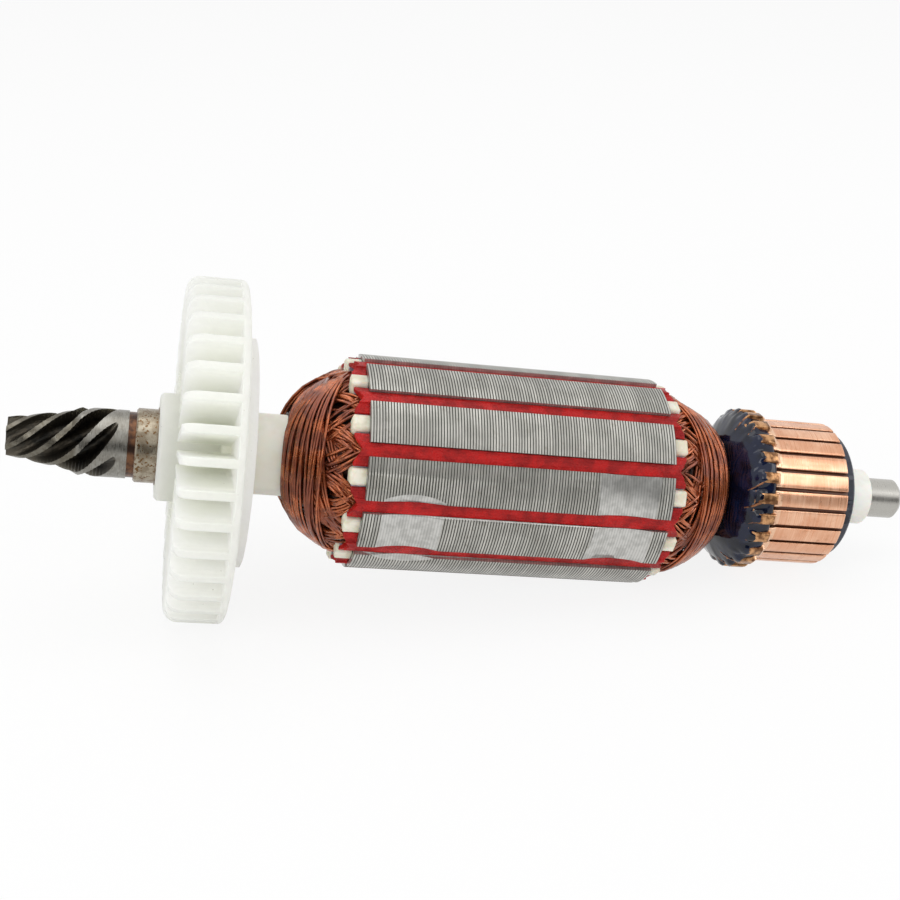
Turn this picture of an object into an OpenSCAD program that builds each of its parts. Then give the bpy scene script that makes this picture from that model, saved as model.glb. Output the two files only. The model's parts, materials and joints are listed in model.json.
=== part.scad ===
// Wound motor armature: a steel shaft with a helical pinion cut on its end, a moulded fan,
// an insulated 12-slot lamination stack with its winding, and a 24-bar moulded commutator.
// Every piece is drawn along +Z with the drive end of the stack at z = 0, then laid down
// as it comes to rest: on the fan's rim and the far edge of the stack.

/* [Shaft] */
// Diameter of the drive-end bearing seat
drive_seat_d = 12; // [11.6:0.1:12.6]
// Length of the drive-end bearing seat left bare beside the fan
drive_seat_len = 3.5; // [2:0.5:12]
// Diameter of the shaft's shoulder under the fan
fan_seat_d = 12.6; // [12.3:0.1:14]
// Width of the relief groove between bearing seat and pinion
groove_w = 1.15; // [0.6:0.05:2]
// Depth of the relief groove below the pinion body
groove_depth = 0.2; // [0.1:0.05:0.6]
// Diameter of the shaft inside the insulating sleeve
core_d = 10; // [9:0.1:10.6]
// Diameter of the shaft under the commutator
comm_seat_d = 7.8; // [7.4:0.1:8.2]
// Diameter of the commutator-end bearing seat
end_seat_d = 7; // [6:0.1:7.2]
// Length of the commutator-end bearing seat
end_seat_len = 6.9; // [5:0.1:12]
// Chamfer on the commutator end of the shaft
end_chamfer = 0.7; // [0.2:0.1:1.2]

/* [Pinion] */
// Diameter of the pinion body
pinion_d = 11; // [10.4:0.1:11.4]
// Length from the relief groove to the tip
pinion_len = 18.6; // [17:0.2:24]
// Plain length beside the relief groove, before the flutes start
pinion_plain = 1.6; // [1:0.1:3]
// Length of the full-diameter body beside the relief groove
pinion_body = 7.4; // [5:0.1:9]
// Diameter of the toothed cone at the tip
pinion_tip_d = 6.1; // [5.4:0.1:7]
// Diameter of the toothed cone where it meets the body
pinion_cone_d = 9.6; // [8:0.1:10.2]
// Number of helical teeth
pinion_teeth = 6; // [5:1:7]
// Turn of the left-hand flutes for each millimetre of length
flute_twist = 13; // [9:0.5:14]
// Radius of the flute's rounded section
flute_r = 1.3; // [0.8:0.05:1.3]
// Opening of the flute's flanks for each millimetre of depth
flute_flare = 0.4; // [0.2:0.05:0.45]
// Diameter left at the bottom of the flutes
flute_root_d = 4.4; // [4:0.1:5]

/* [Fan] */
// Outer diameter of the fan
fan_d = 56; // [50:0.5:62]
// Number of straight blades
fan_blades = 36; // [24:1:40]
// Blade thickness at the rim
blade_tip_t = 1.4; // [1:0.1:2]
// Blade thickness at the eye
blade_root_t = 0.9; // [0.6:0.1:1.1]
// Width of the blades along the shaft
blade_w = 8.3; // [6:0.1:12]
// Thickness of the plate that carries the blades
fan_plate_t = 1.25; // [0.8:0.05:2]
// Diameter of the open eye inside the blades
fan_eye_d = 25; // [22:0.5:30]
// Depth of the annular recess around the hub
fan_eye_depth = 7; // [3:0.5:9]
// Diameter of the raised disc on the stack side
fan_disc_d = 37.5; // [30:0.5:44]
// Height of the raised disc
fan_disc_t = 2.1; // [1:0.1:4]
// Diameter of the fan hub
fan_hub_d = 17.5; // [16:0.1:20]
// Length of hub that stands proud of the blades
fan_hub_nose = 2.75; // [0.5:0.05:4]
// Rounding of the rim of the plate
fan_round = 0.9; // [0.4:0.1:1]
// Rounding of the blades' free corners
blade_round = 2.2; // [1:0.1:3]
// Distance from the fan's raised disc to the stack
fan_gap = 17.45; // [14:0.05:24]

/* [Lamination stack] */
// Diameter of the stack
stack_d = 35.5; // [34:0.1:38]
// Length of the stack
stack_len = 50.5; // [30:0.5:80]
// Number of slots
slots = 12; // [12]
// Width of each tooth's parallel body
tooth_w = 2.9; // [2.6:0.1:3.2]
// Width of the slot opening
slot_opening = 2.3; // [1.8:0.1:2.8]
// Radius of the bottom of the slots
slot_bottom_r = 9.2; // [9:0.1:9.6]
// Thickness of the tooth lips at the slot opening
lip_t = 0.9; // [0.6:0.05:1.1]
// Depth of the milled balance cuts
balance_depth = 0.65; // [0.2:0.05:0.75]
// Length of the milled balance cuts
balance_len = 10.2; // [6:0.2:14]

/* [Insulation] */
// Wall of the insulating sleeve from the fan to the commutator
sleeve_wall = 1.7; // [1.5:0.05:1.9]
// Wall of the sleeve under and past the commutator
bush_wall = 1; // [0.8:0.05:1.4]
// Length of the sleeve's bush past the commutator
bush_len = 6.6; // [4:0.2:10]
// Thickness of the end insulators' arms
star_t = 0.8; // [0.5:0.1:1.2]
// Height of the retaining nubs on the end insulators
nub_h = 2.7; // [1.9:0.1:3]
// Width of the retaining nubs
nub_w = 2.8; // [2:0.1:2.9]
// Depth of the retaining nubs towards the shaft
nub_depth = 3; // [2:0.1:3.4]
// Thickness of the film slot liners
liner_t = 0.25; // [0.15:0.05:0.3]
// Length of liner that sticks out of each slot
liner_out = 2.1; // [1:0.1:2.4]
// Thickness of the slot wedges' flat part
wedge_t = 0.45; // [0.3:0.05:0.5]
// Length of wedge that sticks out at each end
wedge_out = 2.3; // [1:0.1:2.6]
// Depth of the notch in each wedge end
wedge_notch = 1.3; // [0.4:0.1:1.6]

/* [Winding] */
// Height of the winding head at the drive end
drive_head_h = 12.4; // [11:0.1:13]
// Height of the winding head at the commutator end
end_head_h = 13.6; // [11:0.1:14]
// Clearance between the coils and what they lie against
coil_gap = 0.1; // [0.06:0.02:0.14]

/* [Commutator] */
// Diameter of the brush track
comm_d = 25.2; // [24:0.1:26]
// Number of copper bars
comm_bars = 24; // [24]
// Length of the brush track
track_len = 12.4; // [9:0.2:16]
// Length of the riser that carries the hooks
riser_len = 5; // [4:0.1:6]
// Diameter over the riser
riser_d = 25.8; // [25.2:0.1:26.4]
// Diameter over the folded hooks
hook_d = 28; // [27:0.1:28.8]
// Width of each hook
hook_w = 1.8; // [1.2:0.1:2.2]
// Length of each hook
hook_len = 3.7; // [3:0.1:3.9]
// Gap between neighbouring bars, in degrees
bar_gap = 2.7; // [1.5:0.1:3.5]
// Depth of the bars below the brush track
bar_depth = 4.2; // [3.6:0.1:4.6]
// Depth of the moulding in the grooves below the brush track
groove_cut = 0.5; // [0.2:0.05:0.8]
// Distance from the stack to the bars
comm_gap = 16.3; // [15.4:0.1:20]
// Diameter of the moulded end ring
ring_d = 22; // [20:0.2:24]
// Length of the moulded end ring
ring_len = 2.1; // [1:0.1:3]
// Diameter of the potting over the riser
potting_d = 27; // [26.2:0.1:27.2]

/* [Hidden] */
$fn = 96;
eps = 0.01;
fit_gap = 0.05;
seat_chamfer = 0.3;
shoulder_gap = 0.15;
hub_chamfer = 0.5;
pitch = 360 / slots;
half_pitch = pitch / 2;
stack_r = stack_d / 2;

// Places along the shaft.
fan_z = -fan_gap;
plate_z = fan_z - fan_disc_t;
blades_z = plate_z - fan_plate_t;
blade_end_z = blades_z - blade_w;
hub_end_z = blade_end_z - fan_hub_nose;
seat_end_z = hub_end_z - drive_seat_len;
pinion_z = seat_end_z - groove_w;
tip_z = pinion_z - pinion_len;
bar_z = stack_len + comm_gap;
hub_z = bar_z - 0.8;
track_z = bar_z + riser_len;
track_end_z = track_z + track_len;
ring_end_z = track_end_z + ring_len;
bush_end_z = ring_end_z + bush_len;
shaft_end_z = bush_end_z + end_seat_len;

sleeve_r = core_d / 2 + sleeve_wall;
bush_r = comm_seat_d / 2 + bush_wall;
core_end_z = hub_z - sleeve_wall;

// The part lies on the fan's rim and on whichever later edge meets the ground first.
rest_edges = [
    [stack_len, stack_r * cos(asin(slot_opening / stack_d))],
    [track_z, hook_d / 2],
    [track_end_z, comm_d / 2],
    [ring_end_z, ring_d / 2],
    [shaft_end_z, end_seat_d / 2]
];
rim_z = plate_z - fan_round;
rest_tilt = min([for (e = rest_edges) atan((fan_d / 2 - e[1]) / (e[0] - rim_z))]);
rest_height = fan_d / 2 * cos(rest_tilt) + rim_z * sin(rest_tilt);
low_x = tip_z * cos(rest_tilt) - pinion_tip_d / 2 * sin(rest_tilt);
high_x = shaft_end_z * cos(rest_tilt) + (end_seat_d / 2 - end_chamfer) * sin(rest_tilt);
rest_x = -(low_x + high_x) / 2;

function two_digits(i) = i < 10 ? str("0", i) : str(i);
function mix(a, b, t) = a + (b - a) * t;

// Turns the shaft's own frame into the resting frame.
module lay_down() {
    translate([rest_x, 0, rest_height])
        rotate([0, 90 + rest_tilt, 0])
            children();
}

module rod(r, z0, z1) {
    translate([0, 0, z0]) cylinder(r = r, h = z1 - z0);
}

// A closed skin through equal rings of points, with flat ends.
module loft(rings) {
    n = len(rings[0]);
    m = len(rings);
    sides = [for (i = [0:m - 2], j = [0:n - 1])
        [i * n + j, (i + 1) * n + j, (i + 1) * n + (j + 1) % n, i * n + (j + 1) % n]];
    first = [for (j = [0:n - 1]) j];
    last = [for (j = [0:n - 1]) m * n - 1 - j];
    polyhedron(points = [for (r = rings) each r], faces = concat([first], sides, [last]));
}

// ---- shaft --------------------------------------------------------------------------

flute_start_z = tip_z - 1;
flute_end_z = pinion_z - pinion_plain;
flute_rise_z = flute_end_z - 5.2;
flute_steps = 34;
flute_sides = 11;
flute_phase = -86.2;

// Height of the flute's bottom above the axis: level along the cone, then curving out.
function flute_bottom(z) = flute_root_d / 2
    + (z < flute_rise_z ? 0
       : (pinion_d - flute_root_d) / 2 * pow((z - flute_rise_z) / (flute_end_z - flute_rise_z), 2));

// The flute's section: a round bottom between flanks that open towards the outside.
function flute_ring(z) =
    let (turn = flute_phase - flute_twist * (z - flute_end_z), bottom = flute_bottom(z))
    [for (j = [0:flute_sides - 1])
        let (a = 180 * j / (flute_sides - 1), flank = j % (flute_sides - 1) == 0 ? 4 : 0,
             r = bottom + flute_r - flute_r * sin(a) + flank,
             y = (flute_r + flute_flare * flank) * cos(a))
        [r * cos(turn) - y * sin(turn), r * sin(turn) + y * cos(turn), z]];

module flute() {
    rings = [for (i = [0:flute_steps])
        flute_ring(mix(flute_start_z, flute_end_z + 0.3, i / flute_steps))];
    loft(rings);
}

module shaft() {
    body_z = pinion_z - pinion_body;
    shoulder_z = body_z - (pinion_d - pinion_cone_d) / 2 - 0.6;
    color([0.62, 0.61, 0.58])
        difference() {
            rotate_extrude()
                polygon([
                    [0, tip_z], [pinion_tip_d / 2, tip_z], [pinion_cone_d / 2, shoulder_z],
                    [pinion_d / 2, body_z], [pinion_d / 2, pinion_z],
                    [pinion_d / 2 - groove_depth, pinion_z],
                    [pinion_d / 2 - groove_depth, seat_end_z],
                    [drive_seat_d / 2 - seat_chamfer, seat_end_z],
                    [drive_seat_d / 2, seat_end_z + seat_chamfer],
                    [drive_seat_d / 2, hub_end_z - shoulder_gap],
                    [fan_seat_d / 2, hub_end_z - shoulder_gap],
                    [fan_seat_d / 2, fan_z], [core_d / 2, fan_z], [core_d / 2, core_end_z],
                    [comm_seat_d / 2, core_end_z], [comm_seat_d / 2, bush_end_z + shoulder_gap],
                    [end_seat_d / 2, bush_end_z + shoulder_gap],
                    [end_seat_d / 2, shaft_end_z - end_chamfer],
                    [end_seat_d / 2 - end_chamfer, shaft_end_z], [0, shaft_end_z]
                ]);
            for (i = [0:pinion_teeth - 1])
                rotate([0, 0, i * 360 / pinion_teeth]) flute();
        }
}

// One moulded tube insulates the shaft from the fan to the bush past the commutator.
module insulating_sleeve() {
    color([0.89, 0.87, 0.83])
        difference() {
            union() {
                rod(sleeve_r, fan_z, hub_z);
                rod(bush_r, hub_z - eps, bush_end_z);
            }
            rod(core_d / 2, fan_z - 1, core_end_z);
            rod(comm_seat_d / 2, core_end_z - eps, bush_end_z + 1);
        }
}

// ---- fan ----------------------------------------------------------------------------

module fan_cell() {
    step = 360 / fan_blades;
    reach = fan_d / 2 + 2;
    root_r = fan_eye_d / 2 - 1;
    tip_y = reach * tan(step / 2) - blade_tip_t / 2;
    root_y = root_r * tan(step / 2) - blade_root_t / 2;
    translate([0, 0, blade_end_z - 1])
        linear_extrude(blades_z - blade_end_z + 1)
            polygon([[root_r, -root_y], [reach, -tip_y], [reach, tip_y], [root_r, root_y]]);
}

module fan() {
    r = fan_d / 2;
    step = 360 / fan_blades;
    color([0.9, 0.91, 0.86])
        difference() {
            rotate_extrude()
                polygon(concat(
                    [[fan_seat_d / 2, hub_end_z], [fan_hub_d / 2 - hub_chamfer, hub_end_z],
                     [fan_hub_d / 2, hub_end_z + hub_chamfer],
                     [fan_hub_d / 2, blade_end_z + fan_eye_depth],
                     [fan_eye_d / 2, blade_end_z + fan_eye_depth],
                     [fan_eye_d / 2, blade_end_z]],
                    [for (a = [0:15:90])
                        [r - blade_round + blade_round * sin(a),
                         blade_end_z + blade_round - blade_round * cos(a)]],
                    [for (a = [90:-15:0])
                        [r - fan_round + fan_round * sin(a), plate_z - fan_round + fan_round * cos(a)]],
                    [[fan_disc_d / 2, plate_z], [fan_disc_d / 2, fan_z], [fan_seat_d / 2, fan_z]]
                ));
            for (i = [0:fan_blades - 1])
                rotate([0, 0, (i + 0.5) * step]) fan_cell();
        }
}

// ---- lamination stack ---------------------------------------------------------------

// Half width of a slot at distance x from the axis, beside a tooth body of width w.
function slot_half(x, w) = x * tan(half_pitch) - w / 2 / cos(half_pitch);
// Centre of the round slot bottom.
function slot_round_x(bottom, w) = (bottom - w / 2 / cos(half_pitch)) / (1 - tan(half_pitch));

lip_r = stack_r - lip_t;
shoulder_r = lip_r - 0.65;
wedge_r = shoulder_r - wedge_t;
nub_top_r = lip_r;

// The slot's outline up to radius top, narrowed by a lining of thickness t.
module slot_outline(t, top) {
    w = tooth_w + 2 * t;
    x0 = slot_round_x(slot_bottom_r + t, w);
    y0 = slot_half(x0, w);
    translate([x0, 0]) circle(r = y0);
    polygon([[x0, -y0], [top, -slot_half(top, w)], [top, slot_half(top, w)], [x0, y0]]);
}

module slot_shape() {
    half = slot_opening / 2;
    slot_outline(0, shoulder_r);
    polygon([
        [shoulder_r - eps, -slot_half(shoulder_r, tooth_w)], [lip_r, -half], [stack_r + 1, -half],
        [stack_r + 1, half], [lip_r, half], [shoulder_r - eps, slot_half(shoulder_r, tooth_w)]
    ]);
}

// A balance cut, milled by a concave wheel that follows the stack as far as reach degrees
// to each side, and then runs out.
module balance_cut(z, turn, reach) {
    wheel_r = (pow(balance_len / 2, 2) + pow(balance_depth, 2)) / (2 * balance_depth);
    wheel_x = stack_r - balance_depth + wheel_r;
    runout = 5;
    steps = 14;
    profile = [for (i = [0:steps])
        let (a = mix(-reach, reach, i / steps),
             left = max(0, abs(a) - reach + runout) / runout,
             r = stack_r - balance_depth * (1 - 1.1 * left * left))
        [wheel_x - r * cos(a), r * sin(a)]];
    rotate([0, 0, turn])
        translate([wheel_x, 0, z])
            rotate([90, 0, 0])
                rotate_extrude()
                    polygon(concat([[0, profile[0][1]]], profile, [[0, profile[steps][1]]]));
}

module lamination_stack() {
    color([0.6, 0.61, 0.6])
        difference() {
            linear_extrude(stack_len)
                difference() {
                    circle(r = stack_r);
                    circle(r = sleeve_r);
                    for (i = [0:slots - 1]) rotate(i * pitch) slot_shape();
                }
            balance_cut(balance_len / 2 + 2.8, -2.5 * pitch, 24);
            balance_cut(stack_len - 2.5 - balance_len / 2, -3 * pitch, 31);
        }
}

// ---- insulation ---------------------------------------------------------------------

// A prism with rounded edges along Z, centred on the origin.
module soft_prism(x, y, h, r) {
    translate([0, 0, -h / 2])
        linear_extrude(h) {
            square([x - 2 * r, y], center = true);
            square([x, y - 2 * r], center = true);
            for (i = [-1, 1], j = [-1, 1])
                translate([i * (x / 2 - r), j * (y / 2 - r)]) circle(r = r, $fn = 32);
        }
}

// A nub that holds the winding back: a block rounded along its edges and over its end.
module nub(x, y, h) {
    r = min(x, y) * 0.28;
    intersection() {
        soft_prism(x, y, h * 2, r);
        rotate([90, 0, 0]) soft_prism(x, h * 2, y, r);
        rotate([0, 90, 0]) soft_prism(h * 2, y, x, r);
    }
}

// A moulded star covers the teeth's end faces and carries a nub on each tooth.
module end_insulator() {
    nub_x = nub_top_r - nub_depth / 2;
    color([0.89, 0.88, 0.82])
        difference() {
            union() {
                cylinder(r = slot_bottom_r - 0.1, h = star_t);
                for (i = [0:slots - 1])
                    rotate([0, 0, (i + 0.5) * pitch]) {
                        translate([sleeve_r, -tooth_w / 2 + 0.1, 0])
                            cube([nub_x - sleeve_r, tooth_w - 0.2, star_t]);
                        translate([nub_x, 0, 0]) nub(nub_depth, nub_w, nub_h);
                    }
            }
            translate([0, 0, -1]) cylinder(r = sleeve_r, h = star_t + 2);
            translate([0, 0, -2 * nub_h]) cylinder(r = stack_r, h = 2 * nub_h);
        }
}

module drive_end_insulator() {
    mirror([0, 0, 1]) end_insulator();
}

module commutator_end_insulator() {
    translate([0, 0, stack_len]) end_insulator();
}

module slot_liners() {
    color([0.72, 0.7, 0.78])
        translate([0, 0, -liner_out])
            linear_extrude(stack_len + 2 * liner_out)
                for (i = [0:slots - 1])
                    rotate(i * pitch)
                        difference() {
                            slot_outline(0, wedge_r - fit_gap);
                            slot_outline(liner_t, wedge_r + 1);
                        }
}

// A fibre strip under the tooth lips, raised to fill the slot opening, with swallowtail ends.
module slot_wedge() {
    half = slot_half(wedge_r, tooth_w) - 0.12;
    top_half = slot_opening / 2 - fit_gap;
    top_r = stack_r - 0.6;
    length = stack_len + 2 * wedge_out;
    color([0.7, 0.15, 0.14])
        difference() {
            translate([0, 0, -wedge_out])
                linear_extrude(length)
                    polygon([
                        [wedge_r, -half], [shoulder_r - fit_gap, -half], [lip_r - fit_gap, -top_half],
                        [top_r, -top_half], [top_r, top_half], [lip_r - fit_gap, top_half],
                        [shoulder_r - fit_gap, half], [wedge_r, half]
                    ]);
            for (z = [-wedge_out, stack_len + wedge_out])
                translate([wedge_r - 1, 0, z])
                    rotate([0, 90, 0])
                        linear_extrude(3)
                            polygon([[-wedge_notch, 0], [0, -half * 0.75],
                                     [wedge_notch, 0], [0, half * 0.75]]);
        }
}

// ---- winding ------------------------------------------------------------------------

// Coil k spans five slots, from slot k to slot k + 5. The coils are wound in opposite
// pairs, so each pair lies one layer further out than the pair before.
coil_span = 5;
layers = slots / 2;
function coil_layer(k) = (k + layers - 1) % layers;

wire_sides = 8;
slot_floor = slot_bottom_r + liner_t + coil_gap;
slot_ceiling = wedge_r - coil_gap;
slot_middle = mix(slot_floor, slot_ceiling, 0.52);
low_r = (slot_floor + slot_middle - coil_gap / 2) / 2;
low_a = (slot_middle - coil_gap / 2 - slot_floor) / 2;
low_b = slot_half(low_r - low_a * 0.42, tooth_w + 2 * liner_t) - coil_gap;
high_r = (slot_middle + coil_gap / 2 + slot_ceiling) / 2;
high_a = (slot_ceiling - slot_middle - coil_gap / 2) / 2;
high_b = slot_half(high_r - high_a * 0.42, tooth_w + 2 * liner_t) - coil_gap;

// Over the ends the bundles run round the sleeve, inside the slot bottoms.
chord_in = sleeve_r + coil_gap;
chord_out = slot_bottom_r - coil_gap;
chord_r = (chord_in + chord_out) / 2;
chord_a = (chord_out - chord_in) / 2;
lead_a = 0.75;
lead_b = 1.35;
low_lead_r = slot_bottom_r + lead_a + 0.45;
high_lead_r = low_lead_r + 2 * lead_a + 4 * coil_gap;

function layer_step(head) = (head - liner_out - 3 * coil_gap) / layers;
function layer_z(head, j) = liner_out + 3 * coil_gap + layer_step(head) * (j + 0.5);

// Half of an end turn, from the slot mouth to the middle: [radius, angle, height, a, b].
function half_turn(high, head, j) =
    let (z = layer_z(head, j), z0 = liner_out * 0.6, rise = z - z0,
         r = high ? high_r : low_r, a = high ? high_a : low_a, b = high ? high_b : low_b,
         lead = high ? high_lead_r : low_lead_r,
         h = layer_step(head) / 2 - coil_gap / 2, last = j == layers - 1,
         end_a = last ? chord_a * 1.5 : chord_a, end_r = chord_in + end_a)
    [
        [r, 0, 0, a, b],
        [r, 0, z0, a, b],
        [mix(r, lead, 0.5), 0, max(z0 + rise * 0.4, liner_out + fit_gap),
         mix(a, lead_a, 0.6), mix(b, lead_b, high ? 0.6 : 0)],
        [lead, 0.5, z0 + rise * 0.7, lead_a, lead_b],
        [lead - 0.15, 3, z0 + rise * 0.94, lead_a, lead_b * 0.75],
        [mix(lead, end_r, 0.42), 9.5, z, lead_a, h],
        [mix(lead, end_r, 0.82), 17, z, mix(lead_a, end_a, 0.5), h],
        [end_r, 26, z, end_a, h],
        [end_r, 39, z, end_a, h],
        [end_r, 53, z, end_a, h],
        [end_r, 68, z, end_a, h]
    ];

// A whole end turn from its go side to its return side.
function end_turn(k, head) =
    let (j = coil_layer(k), first = half_turn(j == layers - 1, head, j),
         second = half_turn(j > 0, head, j), n = len(first), span = coil_span * pitch)
    concat(
        [for (p = first) [p[0], k * pitch + p[1], p[2], p[3], p[4]]],
        [for (i = [n - 1:-1:0])
            let (p = second[i]) [p[0], k * pitch + span - p[1], p[2], p[3], p[4]]]
    );

// The whole coil: out over the commutator end, back over the drive end.
function coil_route(k) =
    let (far = end_turn(k, end_head_h), near = end_turn(k, drive_head_h), n = len(near))
    concat(
        [for (p = far) [p[0], p[1], stack_len + p[2], p[3], p[4]]],
        [for (i = [n - 1:-1:0]) let (p = near[i]) [p[0], p[1], -p[2], p[3], p[4]]]
    );

function at(p) = [p[0] * cos(p[1]), p[0] * sin(p[1]), p[2]];
function unit(v) = v / norm(v);

// A ring of the bundle's rounded section, square to its route.
function coil_ring(p, ahead) =
    let (t = unit(ahead), radial = [cos(p[1]), sin(p[1]), 0],
         u = unit(radial - (radial * t) * t), v = cross(t, u))
    [for (s = [0:wire_sides - 1])
        let (q = 360 * (s + 0.5) / wire_sides, w = 1 / cos(180 / wire_sides))
        at(p) + u * (p[3] * w * cos(q)) + v * (p[4] * w * sin(q))];

module coil(k) {
    route = coil_route(k);
    m = len(route);
    rings = [for (i = [0:m - 1])
        coil_ring(route[i], at(route[(i + 1) % m]) - at(route[(i + m - 1) % m]))];
    color([0.5, 0.25, 0.12])
        polyhedron(
            points = [for (r = rings) each r],
            faces = [for (i = [0:m - 1], s = [0:wire_sides - 1])
                [i * wire_sides + s, ((i + 1) % m) * wire_sides + s,
                 ((i + 1) % m) * wire_sides + (s + 1) % wire_sides,
                 i * wire_sides + (s + 1) % wire_sides]]
        );
}

// ---- commutator ---------------------------------------------------------------------

bar_step = 360 / comm_bars;
bar_phase = 12.4;
bar_neck_r = comm_d / 2 - bar_depth * 0.5;

// The resin ends on the riser; below it the moulding's fins stand halfway up to its surface.
potting_r = potting_d / 2;
potting_end_z = bar_z + riser_len - 1.3;
fin_r = mix(bar_neck_r, potting_r, 0.5);

// One hard copper bar: brush track, riser, and an undercut foot held by the moulding.
module commutator_bar(i) {
    r = comm_d / 2;
    foot_r = r - bar_depth * 0.75;
    in_r = r - bar_depth;
    turn = bar_phase + i * bar_step;
    color([0.84, 0.55, 0.4])
        rotate([0, 0, turn]) {
            rotate([0, 0, -(bar_step - bar_gap) / 2])
                rotate_extrude(angle = bar_step - bar_gap)
                    polygon([
                        [riser_d / 2, bar_z], [riser_d / 2, track_z - 0.5], [r, track_z],
                        [r, track_end_z - 0.2], [r - 0.2, track_end_z],
                        [bar_neck_r, track_end_z], [bar_neck_r, track_end_z - 2.4],
                        [foot_r, track_end_z - 1.2], [in_r, track_end_z - 1.2],
                        [in_r, bar_z + 1.2], [foot_r, bar_z + 1.2],
                        [bar_neck_r, bar_z + 2.4], [bar_neck_r, bar_z]
                    ]);
            commutator_hook();
        }
}

// The hook is folded back over the wires and flattened on the riser.
module commutator_hook() {
    z0 = bar_z + 0.5;
    intersection() {
        rotate([0, 0, -bar_step / 2])
            rotate_extrude(angle = bar_step)
                polygon([
                    [riser_d / 2 - 0.3, z0], [hook_d / 2 - 0.5, z0], [hook_d / 2, z0 + 0.7],
                    [hook_d / 2, z0 + hook_len - 0.6], [hook_d / 2 - 0.35, z0 + hook_len],
                    [riser_d / 2 - 0.3, z0 + hook_len]
                ]);
        translate([0, -hook_w / 2, z0 - 1]) cube([hook_d, hook_w, hook_len + 2]);
    }
}

module hub_outline() {
    groove_r = comm_d / 2 - groove_cut;
    polygon([
        [bush_r, hub_z], [fin_r, hub_z], [fin_r, potting_end_z], [groove_r, potting_end_z],
        [groove_r, track_end_z], [ring_d / 2, track_end_z], [ring_d / 2, ring_end_z - 0.4],
        [ring_d / 2 - 0.4, ring_end_z], [bush_r, ring_end_z]
    ]);
}

// The moulding that carries the bars, with a fin between each pair and an end ring.
module commutator_hub() {
    color([0.16, 0.17, 0.2])
        difference() {
            rotate_extrude() hub_outline();
            for (i = [0:comm_bars - 1]) commutator_bar(i);
        }
}

// Hard resin over the leads, from the winding to the hooks.
module lead_potting() {
    z0 = stack_len + end_head_h + coil_gap;
    color([0.07, 0.08, 0.13])
        difference() {
            rotate_extrude()
                polygon([
                    [sleeve_r, z0], [potting_r - 4.6, z0], [potting_r - 3.1, z0 + 0.7],
                    [potting_r - 1.3, z0 + 1.7], [potting_r - 0.5, z0 + 2.8],
                    [potting_r, bar_z + 1.3], [potting_r - 0.15, potting_end_z - 0.4],
                    [potting_r - 0.7, potting_end_z], [sleeve_r, potting_end_z]
                ]);
            translate([0, 0, hub_z]) cylinder(r = fin_r, h = riser_len * 2);
            for (i = [0:comm_bars - 1]) commutator_bar(i);
        }
}

lay_down() shaft();
lay_down() insulating_sleeve();
lay_down() fan();
lay_down() lamination_stack();
lay_down() drive_end_insulator();
lay_down() commutator_end_insulator();
lay_down() slot_liners();
lay_down() commutator_hub();
lay_down() lead_potting();
for (i = [0:slots - 1]) {
    lay_down() rotate([0, 0, i * pitch]) slot_wedge();
    lay_down() coil(i);
}
for (i = [0:comm_bars - 1])
    lay_down() commutator_bar(i);
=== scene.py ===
# %% [markdown]
# # A wound motor armature
#
# The rotor of a small power tool, lying on a pale bench: a steel shaft with a helical
# pinion, a moulded fan, a stack of steel sheets with red wedges in its slots, twelve coils
# of enamelled wire, and a commutator with copper bars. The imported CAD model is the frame.
# Its nodes keep their shape and get real finishes, and where a plain solid can't show what
# the eye sees, such as hundreds of wires, a finer piece stands for it in the same space.

# %% Load the frame and keep its box
import json
import math
import random

import bpy
from mathutils import Euler, Matrix, Vector


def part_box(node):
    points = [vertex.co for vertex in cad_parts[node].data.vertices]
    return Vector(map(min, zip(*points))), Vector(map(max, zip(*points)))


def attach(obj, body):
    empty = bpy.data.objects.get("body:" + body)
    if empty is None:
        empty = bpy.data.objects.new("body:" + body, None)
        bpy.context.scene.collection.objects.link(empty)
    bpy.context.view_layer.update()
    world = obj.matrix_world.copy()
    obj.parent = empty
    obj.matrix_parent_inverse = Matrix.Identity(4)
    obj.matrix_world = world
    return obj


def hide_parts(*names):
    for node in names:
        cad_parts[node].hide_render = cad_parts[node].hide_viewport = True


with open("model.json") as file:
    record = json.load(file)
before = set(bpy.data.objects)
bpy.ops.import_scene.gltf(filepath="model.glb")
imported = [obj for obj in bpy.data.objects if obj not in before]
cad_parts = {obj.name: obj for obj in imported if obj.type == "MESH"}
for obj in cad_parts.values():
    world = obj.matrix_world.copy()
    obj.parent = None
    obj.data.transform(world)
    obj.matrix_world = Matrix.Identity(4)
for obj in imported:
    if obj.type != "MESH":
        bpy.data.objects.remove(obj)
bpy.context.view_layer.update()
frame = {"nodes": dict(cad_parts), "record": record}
nodes = frame["nodes"]
print("CAD nodes:", len(nodes))

# %% [markdown]
# Everything on an armature is arranged round its shaft, and here the shaft lies tilted. It
# is easier to think in millimetres along the shaft, round it and away from it, and to turn
# the finished mesh into place. The two bearing seats in the record are points on the shaft's
# centre line, and the middle of the stack's box gives the place along it.

# %% The shaft's own frame
MM = 0.001
STACK_LEN = 50.5

seats = {m["name"]: Vector(m["pos_m"]) for m in frame["record"]["mounts"]}
along = (seats["commutator_end_seat"] - seats["drive_end_seat"]).normalized()
aside = Vector((0, 1, 0))
downward = aside.cross(along)
low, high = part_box("lamination_stack")
stack_start = (low + high) / 2 - along * STACK_LEN / 2 * MM

shaft_frame = Matrix((downward, aside, along)).transposed().to_4x4()
shaft_frame.translation = stack_start
into_shaft_frame = shaft_frame.inverted()
print("Shaft tilt in degrees:", round(math.degrees(math.asin(-along.z)), 2))


def round_shaft(r, turn, z):
    """A point in the shaft's frame: r from the axis, turn degrees round it, z along it."""
    a = math.radians(turn)
    return Vector((r * math.cos(a), r * math.sin(a), z))


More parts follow.
